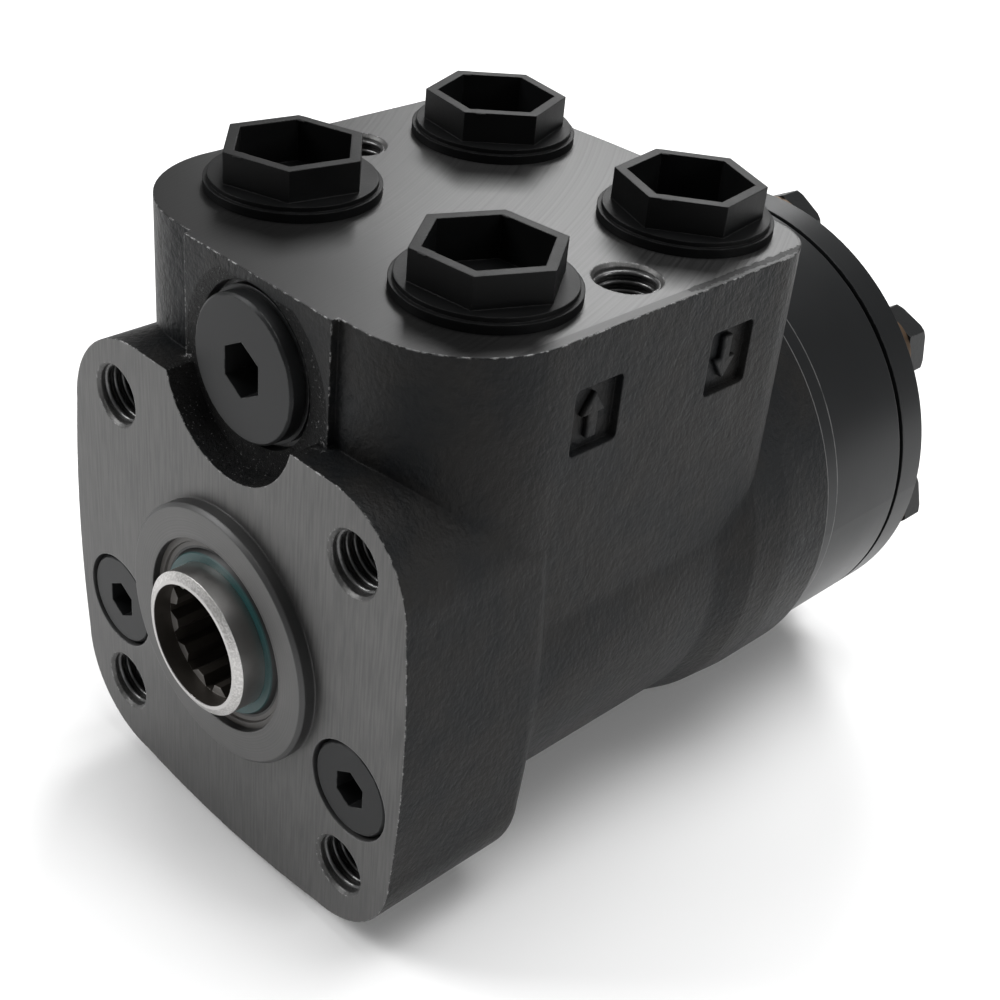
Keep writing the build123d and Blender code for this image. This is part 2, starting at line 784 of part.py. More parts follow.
def rotor():
    """The six-lobed inner gear, set over by the eccentricity and in mesh at rest."""
    steps = rotor_facets * (ring_lobes - 1)
    outline = Polygon(*[rotor_point(trochoid_angle(step / steps)) for step in range(steps)], align=None)
    mesh_angle = (ring_lobes * lobe_angle(0) - rest_orbit_angle) / (ring_lobes - 1)
    start = gear_start + face_gap
    end = cover_start - face_gap
    star = along_y(Rot(Z=mesh_angle) * outline, start, end)
    spline_gaps = toothed(rotor_spline_minor, rotor_spline_major, cardan_teeth,
                          rotor_gap_inner, rotor_gap_outer)
    return rotor_place() * (star - along_y(spline_gaps, start, end))


def rotor_place():
    """Where the rotor's centre is at rest."""
    x, z = on_circle(eccentricity, rest_orbit_angle)
    return Pos(x, 0, z)


def rotor_spacer():
    """The loose disc that fills the rotor's hole behind the cardan shaft."""
    end = cover_start - face_gap
    return rotor_place() * rod(rotor_spline_minor - loose_fit, end - spacer_length, end)


def end_cover():
    """The plain rear cover with its narrow neck against the gear ring."""
    neck = ring_radius - cover_neck_depth
    body = turned((0, cover_start), (neck, cover_start), (neck, cover_start + cover_neck_length),
                  (ring_radius, cover_start + cover_neck_length), (ring_radius, cover_end), (0, cover_end))
    body = chamfer(body.edges().group_by(Axis.Y)[-1], cover_bevel)
    return body - screw_pattern(screw_hole_radius, cover_start, cover_end)


# ---- Cardan shaft -----------------------------------------------------------------------------------

def cardan_place():
    """The tilt of the cardan shaft from the cross pin to the rotor's centre."""
    return Pos(0, cross_pin_row, 0) * Rot(X=cardan_tilt)


def cardan_shaft():
    """The wobbling shaft: a fork over the cross pin and a crowned spline in the rotor."""
    reach = hypot(cardan_length, eccentricity)
    fork_front = -fork_slot_depth / 2
    fork_end = fork_front + fork_length
    tooth_start = reach - cardan_tooth_length / 2
    tooth_end = reach + cardan_tooth_length / 2
    body = turned((0, fork_front), (fork_radius - fork_bevel, fork_front),
                  (fork_radius, fork_front + fork_bevel), (fork_radius, fork_end),
                  (cardan_radius, fork_end + fork_taper), (cardan_radius, reach - cardan_tooth_length),
                  (cardan_root_radius, tooth_start), (cardan_root_radius, tooth_end), (0, tooth_end))
    sunk_root = cardan_root_radius - fork_bevel
    middle = toothed(sunk_root, cardan_tip_radius, cardan_teeth, cardan_tooth_inner, cardan_tooth_outer)
    for side in (-1, 1):
        narrow = 1 - cardan_crown / 2
        far = Plane.XZ.offset(-reach - side * cardan_tooth_length / 2) * scale(middle, narrow)
        body += loft([Plane.XZ.offset(-reach) * middle, far], ruled=True)
    slot = cross_pin_radius + running_fit + seat_fit
    tilt_room = fork_radius * tan(radians(cardan_tilt)) + running_fit
    mouth = Box(2 * fork_radius, tilt_room - fork_front, 2 * slot)
    opening = Pos(0, (fork_front + tilt_room) / 2, 0) * mouth
    opening += Pos(0, tilt_room, 0) * Rot(Y=90) * Cylinder(slot, 2 * fork_radius)
    return cardan_place() * (body - opening)


# ---- Rear screws ------------------------------------------------------------------------------------

def cover_screw(index):
    """One hexagon screw; the pinned one has a dog point."""
    x, z = on_circle(screw_circle, lobe_angle(index))
    seat = cover_end + washer_thickness
    shank = rod(screw_radius, housing_length - screw_grip, seat, x, z)
    outline = Pos(x, z) * hexagon(screw_head_across_flats, lobe_angle(index))
    head = along_y(outline, seat, seat + screw_head_height)
    crown_top = screw_head_across_flats / 2 + screw_crown_edge
    crown_foot = crown_top + screw_head_height + screw_crown_flare
    to_seat = (Align.CENTER, Align.CENTER, Align.MIN)
    crown = Cone(crown_foot, crown_top, screw_head_height, align=to_seat)
    head &= Pos(x, seat, z) * Rot(X=-90) * crown
    screw = shank + head
    if index == pinned_screw:
        tip = housing_length - screw_grip
        screw += rod(screw_dog_radius, tip - screw_dog_length, tip, x, z)
    return screw


def screw_washer(index):
    """The sealing washer under one screw head."""
    x, z = on_circle(screw_circle, lobe_angle(index))
    return tube(washer_radius, screw_radius + seat_fit, cover_end, cover_end + washer_thickness, x, z)


# ---- Relief valve -----------------------------------------------------------------------------------

def relief_plug():
    """The round plug with a hexagon socket that closes the relief valve."""
    head_end = relief_head_start + relief_head
    head = rod(relief_plug_radius, relief_head_start, head_end, 0, relief_height)
    head = chamfer(head.edges().group_by(Axis.Y)[0], plug_head_bevel)
    plug = head + rod(relief_thread_radius, head_end, relief_bore_start - loose_fit, 0, relief_height)
    socket = Pos(0, relief_height) * hexagon(relief_hex_across_flats, 90)
    return plug - along_y(socket, relief_head_start, relief_head_start + relief_hex_depth)


def relief_washer_ring():
    """The sealing washer under the relief valve's plug."""
    end = relief_pad_front + relief_spot_depth
    inner = relief_thread_radius + seat_fit
    return tube(relief_washer_radius, inner, end - relief_washer, end, 0, relief_height)


def relief_adjuster():
    """The screw that sets the relief spring, with a hexagon hole through it."""
    end = relief_spring_start
    body = rod(relief_bore_radius, relief_adjuster_start, end, 0, relief_height)
    hole = Pos(0, relief_height) * hexagon(relief_bore_radius, 90)
    return body - along_y(hole, relief_adjuster_start, end)


def relief_spring():
    """The relief spring."""
    return coil(relief_spring_radius, relief_wire_radius, relief_spring_start, relief_spring_length,
                spring_turns, 0, relief_height)


def relief_piston():
    """The piston that lifts off its seat, with a collar for the spring and a guided nose."""
    start = relief_piston_start
    end = start + relief_piston_length
    collar = rod(relief_spring_radius, start, start + relief_collar, 0, relief_height)
    stem = rod(relief_stem_radius, start, end, 0, relief_height)
    return collar + stem + rod(relief_seat_hole - loose_fit, end, end + relief_lift, 0, relief_height)


def relief_seat():
    """The pressed-in seat with its hole."""
    start = relief_seat_start
    return tube(relief_bore_radius, relief_seat_hole, start, start + relief_seat_length, 0, relief_height)


# ---- Shock valves -----------------------------------------------------------------------------------

def shock_plug(side):
    """A flush plug with a hexagon socket."""
    x, z = side * shock_offset, -shock_drop
    head_end = shock_sink + shock_head
    head = rod(shock_head_radius, shock_sink, head_end, x, z)
    head = chamfer(head.edges().group_by(Axis.Y)[0], plug_head_bevel)
    plug = head + rod(shock_thread_radius, head_end, shock_bore_start - loose_fit, x, z)
    socket = Pos(x, z) * hexagon(shock_hex_across_flats, 90)
    return plug - along_y(socket, shock_sink, shock_sink + shock_hex_depth)


def shock_washer_ring(side):
    """The sealing washer under a flush plug."""
    x, z = side * shock_offset, -shock_drop
    start = shock_sink + shock_head
    return tube(shock_head_radius, shock_thread_radius + seat_fit, start, start + shock_washer, x, z)


def shock_adjuster(side):
    """The screw that sets a shock valve's spring."""
    x, z = side * shock_offset, -shock_drop
    body = rod(shock_bore_radius, shock_adjuster_start, shock_spring_start, x, z)
    hole = along_y(Pos(x, z) * hexagon(shock_bore_radius, 90), shock_adjuster_start, shock_spring_start)
    return body - hole


def shock_spring(side):
    """A shock valve's spring."""
    x, z = side * shock_offset, -shock_drop
    return coil(shock_spring_radius, shock_wire_radius, shock_spring_start, shock_spring_length,
                spring_turns, x, z)


def shock_ball(side):
    """A shock valve's ball on the edge of its feed hole."""
    return Pos(side * shock_offset, shock_ball_row, -shock_drop) * Sphere(shock_ball_radius)


# ---- Check and suction valves -----------------------------------------------------------------------

def check_bush():
    """The screwed-in bush that keeps the check ball in."""
    end = housing_length - check_bush_sunk
    return tube(check_bush_radius, check_bush_hole, end - check_bush_length, end, 0, -check_circle)


def check_ball():
    """The check ball, at rest on its seat."""
    return Pos(0, check_ball_row, -check_circle) * Sphere(check_ball_radius)


def suction_ball(index):
    """One suction ball at the end of its bore."""
    x, z = on_circle(screw_circle, lobe_angle(index))
    return Pos(x, suction_end + suction_ball_radius + face_gap, z) * Sphere(suction_ball_radius)


def suction_pin(index):
    """The pin that limits a suction ball's travel."""
    x, z = on_circle(screw_circle, lobe_angle(index))
    start = suction_end + suction_bore_length - suction_pin_length
    return rod(suction_pin_radius, start, screw_bore_end, x, z)


# ---- Transport plugs --------------------------------------------------------------------------------

def port_plug(x, y, turn):
    """A moulded plug: a hexagon cup, a stepped collar and a hollow stub in the port."""
    def disc(radius, low, high):
        return Pos(0, 0, low) * Cylinder(radius, high - low, align=(Align.CENTER, Align.CENTER, Align.MIN))

    collar = plug_collar_height + plug_step_height
    top = collar + plug_hex_height
    across = plug_hex_across_flats
    body = disc(plug_collar_radius, 0, plug_collar_height)
    body += disc(plug_collar_radius - plug_step_inset, 0, collar)
    body += extrude(hexagon(across, turn), amount=top)
    stub = port_thread_radius - running_fit
    body += disc(stub, -plug_stub_length, 0)
    cup_floor = top - plug_cup_depth
    body -= Pos(0, 0, cup_floor) * extrude(hexagon(across - 2 * plug_hex_wall, turn), amount=plug_cup_depth)
    body -= disc(stub - plug_stub_wall, -plug_stub_length, cup_floor - plug_floor)
    return Pos(x, y, port_face) * body


# ---- All pieces -------------------------------------------------------------------------------------

def pieces():
    """Every piece by name."""
    made = {
        "housing": housing(),
        "distributor_plate": distributor_plate(),
        "gear_ring": gear_ring(),
        "end_cover": end_cover(),
        "seal_ring_housing": cord_ring(housing_length + seal_groove_depth),
        "seal_ring_gear_front": cord_ring(gear_start + seal_groove_depth),
        "seal_ring_gear_rear": cord_ring(cover_start),
        "dust_seal": dust_seal(),
        "shaft_seal": shaft_seal(),
        "bearing_race_front": bearing_race(bearing_start),
        "needle_cage": needle_cage(),
        "bearing_race_rear": bearing_race(inner_race_start),
        "spool": spool(),
        "sleeve": sleeve(),
        "cross_pin": cross_pin(),
        "leaf_springs_flat": flat_leaves(),
        "leaf_spring_arched_left": arched_leaf(-1),
        "leaf_spring_arched_right": arched_leaf(1),
        "spring_ring": spring_ring(),
        "cardan_shaft": cardan_shaft(),
        "rotor": rotor(),
        "rotor_spacer": rotor_spacer(),
        "relief_plug": relief_plug(),
        "relief_washer": relief_washer_ring(),
        "relief_adjuster": relief_adjuster(),
        "relief_spring": relief_spring(),
        "relief_piston": relief_piston(),
        "relief_seat": relief_seat(),
        "check_bush": check_bush(),
        "check_ball": check_ball(),
    }
    for name, side in (("left", -1), ("right", 1)):
        made[f"shock_plug_{name}"] = shock_plug(side)
        made[f"shock_washer_{name}"] = shock_washer_ring(side)
        made[f"shock_adjuster_{name}"] = shock_adjuster(side)
        made[f"shock_spring_{name}"] = shock_spring(side)
        made[f"shock_ball_{name}"] = shock_ball(side)
    for name, index in zip(("right", "left"), suction_screws):
        made[f"suction_ball_{name}"] = suction_ball(index)
        made[f"suction_pin_{name}"] = suction_pin(index)
    for index in range(ring_lobes):
        made[f"cover_screw_{index + 1}"] = cover_screw(index)
    washers = [screw_washer(index) for index in range(ring_lobes)]
    made["screw_washers"] = Compound(children=washers)
    for number, ((x, y), turn) in enumerate(zip(port_places(), plug_turns), start=1):
        made[f"port_plug_{number}"] = port_plug(x, y, turn)
    return made


os.makedirs("parts", exist_ok=True)
for name, shape in pieces().items():
    export_step(shape, f"parts/{name}.step")
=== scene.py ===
from math import cos, radians, sin, sqrt

import bmesh
import bpy
from mathutils import Matrix, Vector


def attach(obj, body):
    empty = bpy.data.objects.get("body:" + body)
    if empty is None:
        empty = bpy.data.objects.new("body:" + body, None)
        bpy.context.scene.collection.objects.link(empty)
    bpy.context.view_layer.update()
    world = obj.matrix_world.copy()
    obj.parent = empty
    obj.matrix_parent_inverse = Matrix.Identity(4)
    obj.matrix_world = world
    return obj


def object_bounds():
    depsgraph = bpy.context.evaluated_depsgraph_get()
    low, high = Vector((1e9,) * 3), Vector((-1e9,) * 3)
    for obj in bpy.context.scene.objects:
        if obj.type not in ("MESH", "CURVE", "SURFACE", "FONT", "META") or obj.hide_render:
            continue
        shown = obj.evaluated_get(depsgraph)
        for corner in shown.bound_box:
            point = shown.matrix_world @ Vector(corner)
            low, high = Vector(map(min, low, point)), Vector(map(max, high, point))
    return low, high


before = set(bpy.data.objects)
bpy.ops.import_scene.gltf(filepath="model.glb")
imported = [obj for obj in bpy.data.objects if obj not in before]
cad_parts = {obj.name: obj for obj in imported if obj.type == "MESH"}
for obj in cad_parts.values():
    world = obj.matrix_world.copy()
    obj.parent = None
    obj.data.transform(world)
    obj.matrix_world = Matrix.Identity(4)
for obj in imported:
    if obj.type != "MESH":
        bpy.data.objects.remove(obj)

cad_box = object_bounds()
mm = 0.001


# ---- The stage: camera, table and lamps -----------------------------------------------------------
# The unit is seen from the right, above its column flange, on a white table under large soft lamps.

aim = Vector((0, 60, 10)) * mm
daylight = 0.24
azimuth, elevation, roll = radians(42.46), radians(32.78), radians(5.94)
distance, slide_right, slide_up = 294.54 * mm, -0.22 * mm, -7.41 * mm
focal_length_px, frame_px, sensor_width = 1653.87, 1000, 36

back = Vector((sin(azimuth) * cos(elevation), -cos(azimuth) * cos(elevation), sin(elevation)))
level = (-back).cross(Vector((0, 0, 1))).normalized()
upright = level.cross(-back)
right = cos(roll) * level + sin(roll) * upright
up = cos(roll) * upright - sin(roll) * level
camera = bpy.data.objects.new("camera", bpy.data.cameras.new("camera"))
camera.data.sensor_fit = "HORIZONTAL"
camera.data.sensor_width = sensor_width
camera.data.lens = focal_length_px / frame_px * sensor_width
camera.data.clip_start, camera.data.clip_end = 0.01, 20
camera.matrix_world = Matrix((right, up, back)).transposed().to_4x4()
camera.location = aim + back * distance + right * slide_right + up * slide_up
bpy.context.scene.collection.objects.link(camera)
bpy.context.scene.camera = camera
bpy.context.scene.view_settings.view_transform = "Standard"

world = bpy.data.worlds.new("studio")
world.use_nodes = True
world.node_tree.nodes["Background"].inputs["Color"].default_value = (1, 1, 1, 1)
world.node_tree.nodes["Background"].inputs["Strength"].default_value = daylight
bpy.context.scene.world = world


def soft_lamp(name, place, size, watts):
    """A square lamp that shines at the aim point."""
    lamp = bpy.data.objects.new(name, bpy.data.lights.new(name, "AREA"))
    lamp.data.size = size
    lamp.data.energy = watts
    lamp.location = place
    lamp.rotation_euler = (aim - Vector(place)).to_track_quat("-Z", "Y").to_euler()
    bpy.context.scene.collection.objects.link(lamp)


soft_lamp("lamp_left", (-0.75, -0.6, 0.75), 0.5, 9)
soft_lamp("lamp_top", (0.15, 0.3, 1.2), 0.8, 12)
soft_lamp("lamp_behind", (-0.6, 0.85, 0.75), 0.45, 7)
soft_lamp("lamp_right", (0.9, 0.35, 0.4), 0.3, 3)


class Wire:
    """One output of a shader node, with arithmetic that adds Math nodes."""

    def __init__(self, finish, socket):
        self.finish, self.socket = finish, socket

    def math(self, operation, *values):
        return self.finish.node("ShaderNodeMath", {"operation": operation}, dict(enumerate(values)))

    def __add__(self, other):
        return self.math("ADD", self, other)

    def __sub__(self, other):
        return self.math("SUBTRACT", self, other)

    def __rsub__(self, other):
        return self.math("SUBTRACT", other, self)

    def __mul__(self, other):
        return self.math("MULTIPLY", self, other)

    def __gt__(self, other):
        return self.math("GREATER_THAN", self, other)

    def __lt__(self, other):
        return self.math("LESS_THAN", self, other)

    def __or__(self, other):
        return self.math("MAXIMUM", self, other)

    def __abs__(self):
        return self.math("ABSOLUTE", self)

    __radd__, __rmul__ = __add__, __mul__

    def rising(self, low, high):
        """0 below low, 1 above high, and a soft step between them."""
        settings = {"interpolation_type": "SMOOTHSTEP"}
        sockets = {"Value": self, "From Min": low, "From Max": high}
        return self.finish.node("ShaderNodeMapRange", settings, sockets)


class Finish:
    """A material made of nodes around one Principled BSDF."""

    def __init__(self, name):
        self.material = bpy.data.materials.new(name)
        self.material.use_nodes = True
        self.tree = self.material.node_tree
        self.shader = self.tree.nodes["Principled BSDF"]

    def node(self, kind, settings=None, sockets=None, out=0):
        """Adds a node, sets its settings, then its sockets' values or links."""
        node = self.tree.nodes.new(kind)
        for key, value in (settings or {}).items():
            setattr(node, key, value)
        for key, value in (sockets or {}).items():
            self.feed(node.inputs[key], value)
        return Wire(self, node.outputs[out])

    def feed(self, socket, value):
        if isinstance(value, Wire):
            self.tree.links.new(value.socket, socket)
        else:
            socket.default_value = value

    def set(self, **sockets):
        """Feeds the shader's own sockets, named with _ for a space."""
        for key, value in sockets.items():
            self.feed(self.shader.inputs[key.replace("_", " ")], value)

    def place(self, stretch=(1, 1, 1), turn=(0, 0, 0)):
        """Object coordinates, stretched and turned."""
        coordinates = self.node("ShaderNodeTexCoord", out="Object")
        sockets = {"Vector": coordinates, "Rotation": turn, "Scale": stretch}
        return self.node("ShaderNodeMapping", None, sockets)

    def noise(self, size, detail=4, rough=0.55, stretch=(1, 1, 1), turn=(0, 0, 0)):
        """Noise with blotches about as wide as size, in metres."""
        sockets = {"Vector": self.place(stretch, turn), "Scale": 1 / size,
                   "Detail": detail, "Roughness": rough}
        return self.node("ShaderNodeTexNoise", None, sockets)

    def rings(self, radius, size):
        """Noise that runs in circles, as a turning tool leaves."""
        along = self.node("ShaderNodeCombineXYZ", None, {0: radius})
        return self.node("ShaderNodeTexNoise", None, {"Vector": along, "Scale": 1 / size, "Detail": 3})

    def spots(self, size):
        """Distance to scattered points that lie about size apart."""
        return self.node("ShaderNodeTexVoronoi", None, {"Vector": self.place(), "Scale": 1 / size})

    def mix(self, share, first, second):
        """A colour between two colours."""
        settings = {"data_type": "RGBA"}
        return self.node("ShaderNodeMix", settings, {"Factor": share, "A": first, "B": second}, "Result")

    def xyz(self):
        """The point's own x, y and z."""
        point = self.node("ShaderNodeSeparateXYZ", None, {0: self.place()})
        return [Wire(self, point.socket.node.outputs[axis]) for axis in "XYZ"]

    def facing(self):
        """The face normal's x, y and z."""
        normal = self.node("ShaderNodeNewGeometry", out="True Normal")
        split = self.node("ShaderNodeSeparateXYZ", None, {0: normal})
        return [Wire(self, split.socket.node.outputs[axis]) for axis in "XYZ"]

    def length(self, first, second):
        """The length of two sides at a right angle."""
        return self.node("ShaderNodeMath", {"operation": "SQRT"}, {0: first * first + second * second})

    def softened(self, radius):
        """The normal with edges rounded over a radius."""
        return self.node("ShaderNodeBevel", {"samples": 4}, {"Radius": radius})

    def edges(self, soft):
        """0 on flat ground, rising to 1 where the softened normal leaves the true one."""
        hard = self.node("ShaderNodeNewGeometry", out="Normal")
        same = self.node("ShaderNodeVectorMath", {"operation": "DOT_PRODUCT"}, {0: soft, 1: hard}, "Value")
        return (1 - same).rising(0.01, 0.12)

    def relief(self, height, depth, soft=None):
        """Bump from a height of 0 to 1, over a softened normal if given."""
        sockets = {"Height": height, "Distance": depth}
        if soft:
            sockets["Normal"] = soft
        self.set(Normal=self.node("ShaderNodeBump", None, sockets))


def grey(value, cool=0.0):
    """A neutral colour, cooler or warmer by a share."""
    return (value * (1 - cool / 2), value, value * (1 + cool / 2), 1)


def dress(finish, *names):
    """Gives CAD nodes their finish."""
    for name in names:
        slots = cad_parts[name].data.materials
        slots.clear()
        slots.append(finish.material)


def new_piece(name, mesh, finish, body):
    """A mesh as a finished piece that rides on a body."""
    piece = bpy.data.objects.new(name, mesh)
    bpy.context.scene.collection.objects.link(piece)
    mesh.materials.clear()
    mesh.materials.append(finish.material)
    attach(piece, body)
    return piece


def settled(piece):
    """The piece's evaluated shape as a plain mesh; the working object goes."""
    seen = piece.evaluated_get(bpy.context.evaluated_depsgraph_get())
    mesh = bpy.data.meshes.new_from_object(seen)
    bpy.data.objects.remove(piece)
    return mesh


table_reach, table_height = 3.0, cad_box[0][2]
table_corners = [(x * table_reach, y * table_reach, table_height)
                 for x, y in ((-1, -1), (1, -1), (1, 1), (-1, 1))]
table_mesh = bpy.data.meshes.new("table")
table_mesh.from_pydata(table_corners, [], [(0, 1, 2, 3)])
table = bpy.data.objects.new("table", table_mesh)
bpy.context.scene.collection.objects.link(table)
table_top = Finish("white_table")
table_top.set(Base_Color=grey(0.95), Roughness=0.7)
table_mesh.materials.append(table_top.material)


# ---- Housing --------------------------------------------------------------------------------------
# A grey iron casting, sprayed with thin semi-gloss black before it is machined, so that the flange
# face, the port face and the bores are bare metal with fine tool marks, and the paint chips there.

port_face, flange_depth = 60.6 * mm, 29.5 * mm
bolt_offset = 82.6 / 2 * sqrt(0.5) * mm
valve_bolt_x, valve_bolt_y = 31.0 * mm, 49.5 * mm
thread_radius = 5.0 * mm
port_centre_y, port_spread, port_radius = 51.2 * mm, 21.95 * mm, 10.48 * mm
notch_radius, notch_height = 15.5 * mm, 44.3 * mm
relief_height, shock_offset, shock_drop = 46 * mm, 30.6 * mm, 12.2 * mm
pad_front = 5.0 * mm
paint_black, paint_brown = grey(0.006, 0.25), grey(0.009, -0.1)
# The chip grey colours real chips and worn edges, and also the painted glints in the notch.
bare_dark, bare_light, chip_and_glint_grey = grey(0.066), grey(0.128, -0.03), grey(0.36)

casting = Finish("painted_casting")
x, y, z = casting.xyz()
facing_x, facing_y, facing_z = casting.facing()
from_shaft = casting.length(x, z)


def near_axes(first, second, at_first, at_second, reach):
    """1 within reach of a hole's axis and of its mirror image."""
    return casting.length(abs(first) - at_first, second - at_second) < reach


front_face = (facing_y < -0.98) * (y < 0.3 * mm)
top_face = (facing_z > 0.98) * (z > port_face - 0.3 * mm)
column_holes = near_axes(x, abs(z), bolt_offset, bolt_offset, thread_radius + 0.6 * mm) * (y < 19 * mm)
valve_holes = near_axes(x, y, valve_bolt_x, valve_bolt_y, thread_radius + 0.6 * mm) * (z > 44 * mm)
port_bores = near_axes(x, abs(y - port_centre_y), port_spread, port_spread, port_radius + 0.7 * mm)
port_bores = port_bores * (z > 30 * mm)
shock_bores = near_axes(x, z, shock_offset, -shock_drop, 8.75 * mm) * (y < 95 * mm)
relief_bore = (casting.length(x, z - relief_height) < 13.1 * mm) * (abs(y - 40 * mm) < 40 * mm - pad_front)
shaft_bore = (from_shaft < 22.0 * mm) * (y > 0.1 * mm)
pilot = (y < -0.02 * mm)
holes = column_holes | valve_holes
bores = port_bores | shock_bores | relief_bore | shaft_bore
machined = front_face | top_face | holes | bores | pilot
in_notch = (casting.length(x, z - notch_height) < notch_radius + 1.2 * mm) * (z < port_face - 2 * mm)
notch = in_notch * (y > 0.4 * mm) * (y < flange_depth)
pad = (facing_y < -0.98) * (abs(y - pad_front) < 0.2 * mm) * (z > 20 * mm)
paint = 1 - machined

crisp = (y < 3 * mm) | (z > port_face - 3 * mm) | bores | holes | (from_shaft > 44 * mm)
soft = casting.softened(crisp * -2.1 * mm + 2.5 * mm)
grain = casting.noise(1.0 * mm, detail=4, rough=0.6, stretch=(1, 1, 0.8))
swell = casting.noise(8 * mm, detail=2)
pits = casting.spots(3.4 * mm).rising(0.05, 0.16)
rough_cast = casting.noise(0.9 * mm, detail=5, rough=0.75)
skin = grain * 0.6 + swell * 0.9 + pits * 0.12 + notch * rough_cast * 1.6

brushed = casting.noise(0.45 * mm, detail=3, stretch=(1, 1, 0.05))
milled = casting.rings(casting.length(x + 150 * mm, y + 20 * mm), 0.5 * mm)
turned = casting.rings(from_shaft, 0.25 * mm)
on_pilot = (from_shaft < 22.5 * mm) * (y < 0.2 * mm)
tool_marks = top_face * milled + (1 - top_face) * ((1 - on_pilot) * brushed + on_pilot * turned)
stain = casting.noise(11 * mm, detail=5, rough=0.6)

pad_sides = (y < pad_front + 0.5 * mm) * (z > 34 * mm) * (abs(x) > notch_radius)
worn_places = (y < 0.5 * mm) * (from_shaft > 24 * mm) | (z > port_face - 0.5 * mm) | pad_sides
rubbed = casting.edges(soft) * worn_places
chips = casting.noise(1.2 * mm, detail=5, rough=0.7).rising(0.5, 0.58) * rubbed * (1 - bores)
# Painted glints: bright specks on the rough notch stand in for glints of light on the casting.
painted_glints = casting.noise(0.35 * mm, detail=2).rising(0.66, 0.72) * notch
rim_band = top_face * (x > 38.7 * mm)
torn_line = casting.noise(1.5 * mm, detail=6, rough=0.75) * 2.4 * mm
flaked = top_face * (abs(x - 38.0 * mm - torn_line) < 0.55 * mm) * (abs(y - 68 * mm) < 14 * mm)
collar_edge = (y > 98.8 * mm) * (from_shaft > 44 * mm)

painted = casting.mix(stain.rising(0.35, 0.65), paint_black, paint_brown)
bare = casting.mix(tool_marks.rising(0.3, 0.7) * 0.5 + stain * 0.5, bare_dark, bare_light)
milled_metal = casting.mix(milled.rising(0.3, 0.7), grey(0.036), grey(0.064))
# Painted shade: the milled port face is painted darker towards the flange, so that it brightens towards the
# back as a reflection of light from behind would make it.
milled_metal = casting.mix((1 - y.rising(12 * mm, 42 * mm)) * 0.75, milled_metal, grey(0.012))
bare = casting.mix(top_face, bare, casting.mix(rim_band * 0.8, milled_metal, grey(0.012)))
bare = casting.mix(pilot * (facing_y > -0.9), bare, grey(0.07))
bare = casting.mix(bores, bare, grey(0.12))
colour = casting.mix(machined, painted, bare)
colour = casting.mix(pad * 0.15, colour, grey(0.06))
colour = casting.mix(flaked, colour, grey(0.003))
colour = casting.mix(notch * 0.5, colour, grey(0.004))
colour = casting.mix(chips | painted_glints * 0.5 | collar_edge * 0.25, colour, chip_and_glint_grey)
metal = machined * (1 - flaked)
casting.set(Base_Color=colour, Metallic=metal * 0.8, Specular_IOR_Level=0.13,
            Roughness=((1 - metal) * (0.36 + grain * 0.22)
                       + metal * (0.38 + tool_marks * 0.15 - top_face * 0.08)))
casting.relief(skin * paint + tool_marks * machined * 0.03 + flaked * 0.15, 0.4 * mm, soft)
dress(casting, "housing")


# ---- Threads --------------------------------------------------------------------------------------
# M10 threads cut in the housing: four for the column on the flange and two for valves on the port
# face. Each is one bright helical ridge that stands in the hole and starts below its lead-in.

thread_pitch, thread_height = 1.5 * mm, 0.62 * mm
column_hole_depth, valve_hole_depth = 18 * mm, 16 * mm
lead_in = 0.9 * mm

bright_thread = Finish("bright_cut_thread")
cut = bright_thread.noise(0.3 * mm, detail=3)
bright_thread.set(Base_Color=bright_thread.mix(cut, grey(0.06), grey(0.17)), Metallic=0.9,
                  Roughness=0.28 + cut * 0.15)
bright_thread.relief(cut, 0.02 * mm)


class Tree:
    """A Geometry Nodes tree with named inputs."""

    def __init__(self, name, **sizes):
        self.tree = bpy.data.node_groups.new(name, "GeometryNodeTree")
        self.tree.interface.new_socket("Geometry", in_out="OUTPUT", socket_type="NodeSocketGeometry")
        kinds = {int: "NodeSocketInt", float: "NodeSocketFloat"}
        self.sockets = {}
        for size, value in sizes.items():
            kind = kinds[type(value)]
            socket = self.tree.interface.new_socket(size, in_out="INPUT", socket_type=kind)
            self.sockets[size] = socket.identifier
        self.sizes = sizes
        self.given = self.tree.nodes.new("NodeGroupInput")

    def size(self, name):
        return self.given.outputs[name]

    def node(self, kind, settings=None, sockets=None, out=0):
        """Adds a node, sets its settings, then its sockets' values or links."""
        node = self.tree.nodes.new(kind)
        for key, value in (settings or {}).items():
            setattr(node, key, value)
        for key, value in (sockets or {}).items():
            if isinstance(value, bpy.types.NodeSocket):
                self.tree.links.new(value, node.inputs[key])
            else:
                node.inputs[key].default_value = value
        return node.outputs[out] if node.outputs else None

    def made(self, finish, geometry):
        """Runs the tree and gives its result as a plain mesh."""
        real = self.node("GeometryNodeRealizeInstances", None, {0: geometry})
        dressed = self.node("GeometryNodeSetMaterial", None, {0: real, "Material": finish.material})
        self.node("NodeGroupOutput", None, {0: dressed})
        worker = bpy.data.objects.new("worker", bpy.data.meshes.new("worker"))
        bpy.context.scene.collection.objects.link(worker)
        modifier = worker.modifiers.new("nodes", "NODES")
        modifier.node_group = self.tree
        for size, value in self.sizes.items():
            modifier[self.sockets[size]] = value
        return settled(worker)


